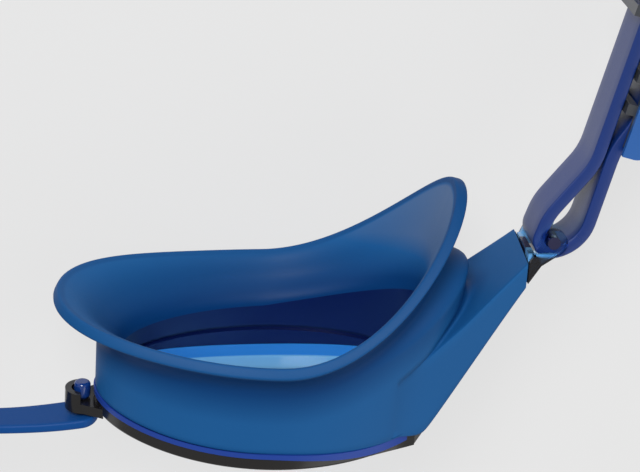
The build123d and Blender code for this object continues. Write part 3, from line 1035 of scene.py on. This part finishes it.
        # Painted shade under the lip, reaching further down at the temple; on the lip, painted shade that
        # deepens at the temple; inside, painted shade by the sleeve that turns into a painted sheen high in
        # the temple's flare.
        under = ramp((y[:, tip, None] - y) / (1 + self.temple_shade * temple), *self.lip_shade)
        above = ramp(y - self.dome.sleeve_back_y(t)[:, None], *self.flare_shade)
        column = np.arange(flat.shape[1])
        hem = flat.shape[1] - len(self.sleeve_shares) - len(self.toe_shares)
        outside = (column < tip) | (column >= hem)
        lip = (column >= tip) & (column < tip + self.lip_columns)
        on_lip = self.lip_tone - self.lip_deeper * temple
        return np.where(outside, under, np.where(lip, on_lip, above * (1 + temple)))

    def spans(self) -> tuple[slice, slice, slice, slice]:
        """Where the arm's back, top, front and bottom lie in its loop of points."""
        tall, deep = 2 * self.arm_rows + 1, self.side_columns - 1
        marks = np.cumsum([0, tall, deep, tall, deep]).tolist()
        return tuple(slice(*ends) for ends in zip(marks, marks[1:]))

    def arm_loop(self, x: np.ndarray) -> np.ndarray:
        """Explicit section of the side arm at plan places x, one place for each point of the loop.

        The loop goes up the back, forwards over the top, down the front and back under the bottom. In the
        front lies the channel of the hard arm, as deep as it, between margins that come level with its front.
        A margin lies on the dome, a, or on the arm's front, b, whichever is further back, eased from one to
        the other as (a + b + root((a - b)^2 + ease^2)) / 2.

        Args:
            x: array (..., loop points).

        Returns:
            Array (..., loop points, 3).
        """
        back, top, front, bottom = self.spans()
        rank = np.abs(np.arange(-self.arm_rows, self.arm_rows + 1))
        sign = np.sign(np.arange(-self.arm_rows, self.arm_rows + 1))
        channel = self.arm_rows - self.margin_rows - self.corner_rows
        turn = np.linspace(0, math.pi / 2, self.corner_rows + 1)
        turn = turn[np.clip(rank - (self.arm_rows - self.corner_rows), 0, self.corner_rows)]
        r = self.arm.corner
        fall, climb = r * (1 - np.cos(turn)), r * np.sin(turn)
        half = self.arm.half_height(x)
        inner = half - self.arm.core_margin

        def heights(span: slice) -> np.ndarray:
            """Heights over the rows: even up to the margin, then up the margin and round the corner."""
            level = inner[..., span] * ramp(rank, 0, channel)
            margin = (half - r - inner)[..., span] * ramp(rank, channel, channel + self.margin_rows)
            return sign * (level + margin + climb)

        near, far = self.margin_radius
        over = self.dome.y(x, half, near + (far - near) * smooth_step(x, *self.margin_x))
        ahead, rear = self.arm.front_y(x), self.arm.back_y(x)
        lead = (over + ahead + np.sqrt((over - ahead) ** 2 + self.arm.ease**2)) / 2
        floor = ahead + self.arm.core_depth
        share = np.linspace(0, 1, self.side_columns + 1)[1:-1]
        low, high = lead + r, rear - r
        out = np.empty((*x.shape, 3))
        out[..., 0] = x
        out[..., back, 1] = rear[..., back] - fall
        out[..., back, 2] = heights(back)
        out[..., front, 1] = np.where(rank > channel, lead[..., front] + fall, floor[..., front])
        out[..., front, 2] = -heights(front)
        out[..., top, 1] = high[..., top] + (low - high)[..., top] * share
        out[..., top, 2] = half[..., top]
        out[..., bottom, 1] = low[..., bottom] + (high - low)[..., bottom] * share
        out[..., bottom, 2] = -half[..., bottom]
        return out

    def surface(self) -> Surface:
        """Points, faces and painted light of the cup with its side arm.

        The cup's closed sections are carried once round the outline. A patch of the temple wall is left out,
        and the arm grows from its edge as section(x) + (1 - u / merge)^power (edge - section(edge x)).
        """
        t = self.turns()
        flat = self.section(t)
        cup = self.outline.carry(t, flat)
        columns = cup.shape[1]
        points = cup.reshape(-1, 3)
        numbers = np.arange(len(points)).reshape(self.rows, columns)
        n, k = self.arm_rows, self.side_columns
        back, top, front, bottom = self.spans()
        rising = np.arange(-n, n + 1)
        loop = np.concatenate(
            [numbers[rising, k], numbers[n, k - 1 : 0 : -1], numbers[rising[::-1], 0], numbers[-n, 1:k]]
        )
        edge, size = points[loop], len(loop)
        u = np.linspace(0, 1, self.arm_steps)[1:, None]
        power = np.empty(size)
        power[back], power[front] = self.arm.merge_power
        power[top] = np.linspace(*self.arm.merge_power, k + 1)[1:-1]
        power[bottom] = power[top][::-1]
        fade = np.clip(1 - u / self.arm.merge, 0, 1) ** power
        x = edge[:, 0] + (self.arm.end_x - edge[:, 0]) * u
        arm = self.arm_loop(x) + fade[..., None] * (edge - self.arm_loop(edge[:, 0]))
        arm[..., 0] = x

        quads = grid_faces(self.rows, columns, ring=True)
        row, column = quads[:, 0] // columns, quads[:, 0] % columns
        quads = quads[((row + n) % self.rows >= 2 * n) | (column >= k)]
        rings = np.concatenate([loop[None], len(points) + np.arange(x.size).reshape(x.shape)])
        arm_quads = rings.reshape(-1)[grid_faces(len(rings), size)]
        last, hem = rings[-1], self.margin_rows + self.corner_rows
        rear, fore = last[back], last[front][::-1]
        rows = np.arange(hem, 2 * n - hem)
        caps = np.stack([rear[rows], rear[rows + 1], fore[rows + 1], fore[rows]], -1)
        over = last[2 * n - hem : front.start + hem + 1]
        under = np.concatenate([last[front.stop - hem - 1 :], last[: hem + 1]])
        faces = [*quads.tolist(), *arm_quads.tolist(), *caps.tolist(), over.tolist(), under.tolist()]

        # Painted shade on the arm's back: darkest at its middle by the cup, fading out along the arm.
        root = np.interp(np.arange(size), [0, n, 2 * n], [1, self.root_tone, 1])
        grow = ramp(u, 0, self.arm_shade) ** self.arm_shade_power
        tone = np.concatenate([self.tones(t, flat).reshape(-1), (root + (1 - root) * grow).reshape(-1)])
        everything = np.concatenate([points, arm.reshape(-1, 3)])
        used = np.zeros(len(everything), bool)
        used[quads] = True
        used[arm_quads] = True
        renumber = np.cumsum(used) - 1
        return everything[used], [renumber[face].tolist() for face in faces], {"tone": tone[used]}

    def settle(self, made: bpy.types.Object, side: Side) -> None:
        """Let the cup stand for the gasket and ride with its side."""
        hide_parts(f"{side.word}_gasket")
        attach(made, f"{side.word}_cup")


# ---- hard pieces round the eye ----


@dataclass
class SeatRing(CupPiece):
    """Rigid coloured ring: a thin line between bezel and soft cup, and a grooved sleeve inside the cup."""

    label: ClassVar[str] = "{}_grooved_ring"
    proud: float = 0.25
    line_back: float = 77.2
    line_front: float = 78.0
    line_advance: tuple[float, float] = (1.1, 1.6)
    line_inside: tuple[float, float] = (-0.3, -0.05)
    gasket_wall: float = 1.6
    inner_grow: float = -3.9
    pocket_grow: float = -2.2
    pocket_back: float = 73.1
    groove_y: tuple[float, float] = (-9.2, -10.1)
    groove_depth: float = 0.6

    def surface(self) -> Surface:
        """The ring: a closed section of straight runs carried round the outline."""
        t = self.turns()
        back = self.dome.sleeve_back_y(t)
        near, far = self.groove_y
        deep = self.inner_grow + self.groove_depth
        pocket = self.dome.over(t, self.inner_grow, self.pocket_back)
        line_back, line_front = (
            self.dome.over(t, 0.0, radius + more * self.dome.advance(t))
            for radius, more in zip((self.line_back, self.line_front), self.line_advance)
        )
        seat = self.dome.over(t, 0.0, self.line_front)
        corners = [
            (self.proud, line_front),
            (self.proud, line_back),
            (-self.gasket_wall, line_back),
            (-self.gasket_wall, back),
            (self.inner_grow, back),
            (self.inner_grow, near),
            (deep, near),
            (deep, far),
            (self.inner_grow, far),
            (self.inner_grow, pocket),
            (self.pocket_grow, pocket),
            (self.pocket_grow, seat),
            (self.line_inside[0], seat),
            (self.line_inside[1], line_front),
        ]
        flat = np.stack([pair(np.full_like(t, out), y) for out, y in corners], axis=1)
        return self.outline.carry(t, flat), grid_faces(self.rows, len(corners), ring=True).tolist(), {}

    def settle(self, made: bpy.types.Object, side: Side) -> None:
        """Let the ring stand for the seat ring and ride with its side."""
        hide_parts(f"{side.word}_seat_ring")
        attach(made, f"{side.word}_cup")


@dataclass
class BezelGusset(CupPiece):
    """Hard web that carries the bezel's edge out to the arm's core, one above and one below the arm."""

    label: ClassVar[str] = "{}_bezel_gusset"
    turn: tuple[float, float] = (36.5, 57.0)
    reach: float = 0.42
    inset: float = 0.05
    drop: float = 1.4
    power: float = 1.5
    sunk: float = 0.8
    depth: float = 2.0
    front: float = 79.95
    rows: int = 29

    def surface(self) -> Surface:
        """Both webs: a flat section carried along the bezel, whose reach falls off as (1 - s) to a power."""
        s = np.linspace(0, 1, self.rows)
        fall = (1 - s) ** self.power
        first, last = (math.radians(turn) for turn in self.turn)
        out = self.reach * fall - self.inset
        section = ((-self.sunk, 0.0), (out, 0.0), (out, self.depth), (-self.sunk, self.depth))
        webs, faces = [], []
        for sign in (1, -1):
            t = sign * (first + (last - first) * s)
            front = [self.dome.over(t, grow, self.front) - self.drop * fall for grow, _ in section]
            flat = np.stack([pair(grow, y + behind) for y, (grow, behind) in zip(front, section)], axis=1)
            shift = len(webs) * self.rows * len(section)
            faces += [[k + shift for k in face[::sign]] for face in tube_faces(self.rows, len(section))]
            webs.append(self.outline.carry(t, flat))
        return np.concatenate(webs), faces, {}

    def settle(self, made: bpy.types.Object, side: Side) -> None:
        """Let the webs ride with their side."""
        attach(made, f"{side.word}_cup")


@dataclass
class DomedLens(CupPiece):
    """Clear domed lens whose rim turns back into the cup."""

    label: ClassVar[str] = "{}_domed_lens"
    grow: float = -2.3
    rim_grow: float = -3.9
    front: float = 79.1
    back: float = 75.4
    rim_back: float = 73.2
    rings: int = 22
    rim_rings: int = 4
    first_ring: float = 0.02
    glow_from: float = 0.35
    glow_most: float = 0.5

    def surface(self) -> Surface:
        """The lens in rings: its back from the middle out, the rim, and the front back to the middle."""
        t = self.turns()
        centre = np.array([self.outline.centre_x, 0.0])
        share = np.linspace(self.first_ring, 1, self.rings)
        out = np.concatenate([share, np.ones(2 * self.rim_rings), share[::-1]])
        grow = np.repeat([self.rim_grow, self.grow], self.rings + self.rim_rings)
        radius = np.concatenate([
            np.full(self.rings, self.back),
            np.linspace(self.back, self.rim_back, self.rim_rings + 1)[1:],
            np.linspace(self.rim_back, self.front, self.rim_rings + 1)[:-1],
            np.full(self.rings, self.front),
        ])
        plan = centre + (self.outline.points(t, grow[:, None]) - centre) * out[:, None, None]
        x, z = plan[..., 0], plan[..., 1]
        points = np.stack([x, self.dome.y(x, z, radius[:, None]), z], -1)
        rim = np.zeros(len(out))
        # Painted glow on the back's outer rings, rising towards the rim.
        rim[: self.rings] = self.glow_most * ramp(share, self.glow_from, 1)
        rim[self.rings : self.rings + self.rim_rings + 1] = 1.0
        return points, tube_faces(len(out), self.rows), {"rim": np.repeat(rim, self.rows)}

    def settle(self, made: bpy.types.Object, side: Side) -> None:
        """Let the lens stand for its node and ride with its side."""
        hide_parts(f"{side.word}_lens")
        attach(made, f"{side.word}_cup")


# ---- nose bridge ----


@dataclass
class NoseBridge(Piece):
    """Flat soft band across the nose, bowed forward, with round ends and a dimple for each stud's head."""

    label: ClassVar[str] = "nose_band"
    smooth: ClassVar[float] = 55.0
    peg_x: float = 14.0
    tip: float = 2.6
    tip_flat: float = 0.01
    thickness: float = 1.5
    back_y: float = -16.9
    bow: float = 1.6
    half_middle: float = 3.1
    half_end: float = 3.6
    edge: float = 0.45
    dimple_radius: tuple[float, float] = (2.05, 1.7)
    dimple_depth: float = 0.55
    rows: int = 121
    between: int = 12

    def half_width(self, x: np.ndarray) -> np.ndarray:
        """Half width at x: it eases from the middle to the studs and closes in a half ellipse past them."""
        ease = smooth_step(np.abs(x), 0, self.peg_x)
        past = ramp(np.abs(x), self.peg_x, self.peg_x + self.tip)
        return (self.half_middle + (self.half_end - self.half_middle) * ease) * np.sqrt(1 - past**2)

    def surface(self) -> Surface:
        """The band: a rounded flat section carried across the nose, whose middle line is a parabola."""
        end = self.peg_x + self.tip
        x = end * np.sin(np.linspace(-math.pi / 2, math.pi / 2, self.rows))[:, None]
        x[0], x[-1] = self.tip_flat - end, end - self.tip_flat
        half = self.half_width(x)
        flat = rounded_bar(half, self.thickness / 2, np.minimum(self.edge, half / 2), self.between)
        through, z = flat[..., 0], flat[..., 1]
        y = self.back_y - self.bow * (1 - (x / end) ** 2) - self.thickness / 2 + through
        dimple = self.dimple_depth * ramp(np.hypot(np.abs(x) - self.peg_x, z), *self.dimple_radius)
        points = np.stack([np.broadcast_to(x, z.shape), y + np.where(through < 0, dimple, 0), z], -1)
        return points, tube_faces(*z.shape), {}

    def settle(self, made: bpy.types.Object, side: Side) -> None:
        """Let the band stand for the bridge and ride on the root."""
        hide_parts("nose_bridge")
        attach(made, ROOT)


# ---- head strap ----


@dataclass
class HeadStrap(Piece):
    """Flat strap, folded back on itself round each bar, in two halves that meet behind the head."""

    label: ClassVar[str] = "{}_strap_half"
    smooth: ClassVar[float] = 55.0
    joints: list[dict[str, Any]]
    width: float = 9.0
    thickness: float = 2.0
    edge: float = 0.28
    bar: tuple[float, float] = (85.6, 13.9)
    wrap: float = 2.05
    run_angle: float = 74.8
    run_offset: float = 2.5
    run_length: float = 48.5
    fold_lean: float = 4.0
    knee: float = 3.5
    merge: float = 13.3
    front_lean: float = 25.0
    neck: tuple[float, float] = (16.4, 4.75)
    tail_from: float = 22.0
    tail_end: float = 49.0
    tail_offset: float = 6.7
    bends: tuple[float, ...] = (12.0, 12.0, 6.6, 2.05, 9.6, 10.5)
    side_bend: float = 40.0
    side_turn: float = 35.0
    side_steps: int = 24
    back_steps: int = 60
    arc_step: float = 5.0
    spacing: float = 3.0
    between: int = 3

    def at_run(self, s: float, q: float) -> np.ndarray:
        """Plan point s along the straight run and q outside the bar's centre."""
        a = math.radians(self.run_angle)
        return self.bar + s * np.array([math.cos(a), math.sin(a)]) + q * np.array([math.sin(a), -math.cos(a)])

    def corners(self) -> np.ndarray:
        """Plan corners of the strap's centre line from the tail's end to the end of the straight run.

        Beside the bar the line touches the circle of the wrap with two straight sides, the fold's back and
        its front, which lean by their own angles, and the corner between them is where the sides would meet.

        Returns:
            Array (corners, 2).
        """
        lean, front = math.radians(self.fold_lean), math.radians(self.front_lean)
        back_way = np.array([math.sin(lean), -math.cos(lean)])
        front_way = np.array([-math.cos(front), math.sin(front)])
        meeting = self.wrap / (1 + back_way @ front_way) * (back_way + front_way)
        touch = self.wrap * front_way
        rise = (self.neck[1] - touch[1]) / math.cos(front)
        left = self.wrap * back_way[1] + (self.knee - self.wrap * back_way[0]) * math.tan(lean)
        route = [
            (self.tail_end, self.tail_offset),
            (self.tail_from, self.tail_offset),
            self.neck,
            (touch[0] + rise * math.sin(front), self.neck[1]),
            meeting,
            (self.knee, left),
            (self.merge, self.run_offset),
            (self.run_length, self.run_offset),
        ]
        return np.array([self.at_run(*spot) for spot in route])

    def side_arc(self) -> tuple[np.ndarray, float, float]:
        """Work out the two long bends, of which the second touches the first and ends square behind the head.

        Returns:
            Centre of the side bend, radius of the bend behind the head and Y of that bend's centre.
        """
        centre = self.at_run(self.run_length, self.run_offset - self.side_bend)
        turn = math.radians(self.side_turn)
        back_radius = self.side_bend + centre[0] / math.cos(turn)
        return centre, back_radius, centre[1] - (back_radius - self.side_bend) * math.sin(turn)

    @staticmethod
    def arc(centre: Any, radius: float, angles: np.ndarray) -> np.ndarray:
        """Plan points of an arc: centre plus radius times (cosine, sine)."""
        return centre + radius * pair(np.cos(angles), np.sin(angles))

    def fillet(self, before: np.ndarray, corner: np.ndarray, after: np.ndarray, radius: float) -> np.ndarray:
        """Arc that touches both straight runs at a corner.

        Its centre lies on the corner's bisector at radius / sin(half the opening), and it touches the runs at
        radius / tan(half the opening) from the corner.

        Args:
            before: the corner before.
            corner: the corner.
            after: the corner after.
            radius: the arc's radius.

        Returns:
            Array (steps, 2) of plan points.
        """
        back, ahead = unit(before - corner), unit(after - corner)
        half = math.acos(float(np.clip(back @ ahead, -1, 1))) / 2
        centre = corner + unit(back + ahead) * radius / math.sin(half)
        first, last = (corner + way * radius / math.tan(half) - centre for way in (back, ahead))
        start = math.atan2(first[1], first[0])
        sweep = (math.atan2(last[1], last[0]) - start + math.pi) % (2 * math.pi) - math.pi
        steps = max(3, int(abs(math.degrees(sweep)) / self.arc_step) + 2)
        return self.arc(centre, radius, start + sweep * np.linspace(0, 1, steps))

    def line(self) -> np.ndarray:
        """Lay the centre line: straight runs with arcs between them, then the two long bends.

        Returns:
            Array (steps, 2) of plan points, at every corner of the arcs and at even spacing.
        """
        corners = self.corners()
        centre, back_radius, back_y = self.side_arc()
        turn = math.radians(self.side_turn)
        side = np.linspace(math.radians(self.run_angle - 90), turn, self.side_steps)
        rough = np.concatenate([
            corners[:1],
            *(self.fillet(*corners[k : k + 3], radius) for k, radius in enumerate(self.bends)),
            self.arc(centre, self.side_bend, side),
            self.arc((0, back_y), back_radius, np.linspace(turn, math.pi / 2, self.back_steps)[1:]),
        ])
        lengths = np.concatenate([[0], np.cumsum(np.linalg.norm(np.diff(rough, axis=0), axis=1))])
        even = np.unique(np.concatenate([np.arange(0, lengths[-1], self.spacing), lengths]))
        return pair(np.interp(even, lengths, rough[:, 0]), np.interp(even, lengths, rough[:, 1]))

    def tilted(self, points: np.ndarray) -> np.ndarray:
        """Points turned about the bars' common line, so that the strap drops as its buckle's axis does.

        Args:
            points: array (..., 3) of points in the level plane of the bars.

        Returns:
            Array (..., 3) of turned points.
        """
        axis = next(joint["axis"] for joint in self.joints if joint["name"] == "left_buckle_slide")
        a = math.atan2(-axis[2], axis[1])
        x, y, z = np.moveaxis(points, -1, 0)
        y = y - self.bar[1]
        turned = [x, self.bar[1] + y * math.cos(a) + z * math.sin(a), z * math.cos(a) - y * math.sin(a)]
        return np.stack(turned, -1)

    def surface(self) -> Surface:
        """One half: a flat section with rounded edges carried along the centre line."""
        line = self.line()
        ahead = unit(np.gradient(line, axis=0))
        section = rounded_bar(self.width / 2, self.thickness / 2, self.edge, self.between)
        plan = line[:, None] + section[:, :1] * pair(ahead[:, 1], -ahead[:, 0])[:, None]
        z = np.broadcast_to(section[:, 1], plan.shape[:2])
        return self.tilted(np.concatenate([plan, z[..., None]], -1)), tube_faces(*z.shape), {}

    def settle(self, made: bpy.types.Object, side: Side) -> None:
        """Let the half stand for the strap and bake its transform into its mesh; the ends between its side's
        run and the point behind the head are worked out but not used.
        """
        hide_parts("head_strap")
        _, back_radius, back_y = self.side_arc()
        ends = np.array([(0, back_y + back_radius, 0), (*self.at_run(self.tail_end, self.run_offset), 0)])
        start, end = self.place.to_row(self.tilted(ends), side)
        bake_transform(made)


# ---- stage ----


@dataclass
class Studio:
    """Pale floor, soft lights and the camera above and behind the goggles."""

    place: Placement
    pale: Colour = (0.81, 0.81, 0.81, 1.0)
    reach: float = 3.0
    glow: float = 0.85
    sky: float = 0.42
    rise: float = 64.0
    distance: float = 450.0
    aim: tuple[float, float, float] = (50.0, 13.0, 0.0)
    stand_x: float = -10.0
    focal: float = 165.5

    def floor(self) -> None:
        """Lay the floor at the base of the goggles."""
        corners = [(x * self.reach, y * self.reach, 0) for x, y in ((-1, -1), (1, -1), (1, 1), (-1, 1))]
        mesh = bpy.data.meshes.new("floor")
        mesh.from_pydata(corners, [], [[0, 1, 2, 3]])
        floor = add_object("floor", mesh)
        paint = Paint("pale_floor")
        paint.set(Base_Color=self.pale, Roughness=0.9, Specular_IOR_Level=0.0)
        paint.blend_in(self.glow * paint.seen(), "ShaderNodeEmission", {"Color": self.pale, "Strength": 1.0})
        dress(floor, paint.material)

    def world(self) -> None:
        """Give the scene an even pale sky, at full strength where it is seen straight or through a face."""
        world = bpy.data.worlds.new("studio")
        bpy.context.scene.world = world
        world.use_nodes = True
        graph = Graph(world.node_tree)
        strength = self.sky + (1 - self.sky) * graph.seen()
        back = graph.node("ShaderNodeBackground", {}, {"Color": self.pale, "Strength": strength})
        graph.node("ShaderNodeOutputWorld", {}, {"Surface": back.outputs[0]})

    def light(self, name: str, spot: tuple[float, float, float], size: float, power: float) -> None:
        """Hang one square soft light that faces the goggles.

        Args:
            name: the light's name.
            spot: its place from the goggles' middle, in metres.
            size: its side, in metres.
            power: watts.
        """
        data = bpy.data.lights.new(name, "AREA")
        data.size = size
        data.energy = power
        lamp = add_object(name, data)
        lamp.location = spot
        lamp.rotation_euler = (-Vector(spot)).to_track_quat("-Z", "Y").to_euler()

    def camera(self) -> None:
        """Set up the camera: it looks steeply down from behind, with the lenses towards its lower edge."""
        a = math.radians(self.rise)
        _, y, z = self.aim
        target = self.place.point(*self.aim)
        up, away = self.distance * math.sin(a), self.distance * math.cos(a)
        spot = self.place.point(self.stand_x, y + away, z + up)
        back = (spot - target).normalized()
        right = Vector((0.0, math.sin(a), -math.cos(a))).cross(back).normalized()
        turn = Matrix((right, back.cross(right), back)).transposed()
        data = bpy.data.cameras.new("camera")
        data.lens = self.focal
        data.clip_start = 0.01
        camera = add_object("camera", data)
        camera.matrix_world = Matrix.Translation(spot) @ turn.to_4x4()
        bpy.context.scene.camera = camera

    def build(self) -> None:
        """Set up floor, sky, lights and camera."""
        bpy.context.scene.view_settings.view_transform = "Standard"
        self.floor()
        self.world()
        self.light("key", spot=(-0.35, 1.15, 1.35), size=0.7, power=22.0)
        self.light("fill", spot=(1.2, -0.6, 1.2), size=1.4, power=6.0)
        self.camera()


# ---- main ----

HARD_NODES = ("frame", "strap_clip", "strap_pin", "buckle_frame", "buckle_cover", "nose_stud")


def report(piece: bpy.types.Object) -> None:
    """Log a finished piece."""
    LOG.info("%s: %s, %d faces", piece.name, piece.active_material.name, len(piece.data.polygons))


def main() -> None:
    """Build the goggles piece by piece."""
    logging.basicConfig(level=logging.INFO, format="%(message)s")
    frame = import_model()
    place = Placement.from_frame(lens_front_y=-19.8)
    finish = finishes(place)
    for side in Side:
        for node in HARD_NODES:
            dress(frame["nodes"][f"{side.word}_{node}"], finish[node])
            report(frame["nodes"][f"{side.word}_{node}"])
        report(EyeCup(place, finish["gasket"]).build(side))
        report(DomedLens(place, finish["lens"]).build(side))
        report(SeatRing(place, finish["ring"]).build(side))
        report(BezelGusset(place, finish["frame"]).build(side))
        report(HeadStrap(place, finish["strap"], frame["joints"]).build(side))
    report(NoseBridge(place, finish["bridge"]).build())
    Studio(place).build()


if __name__ == "__main__":
    main()
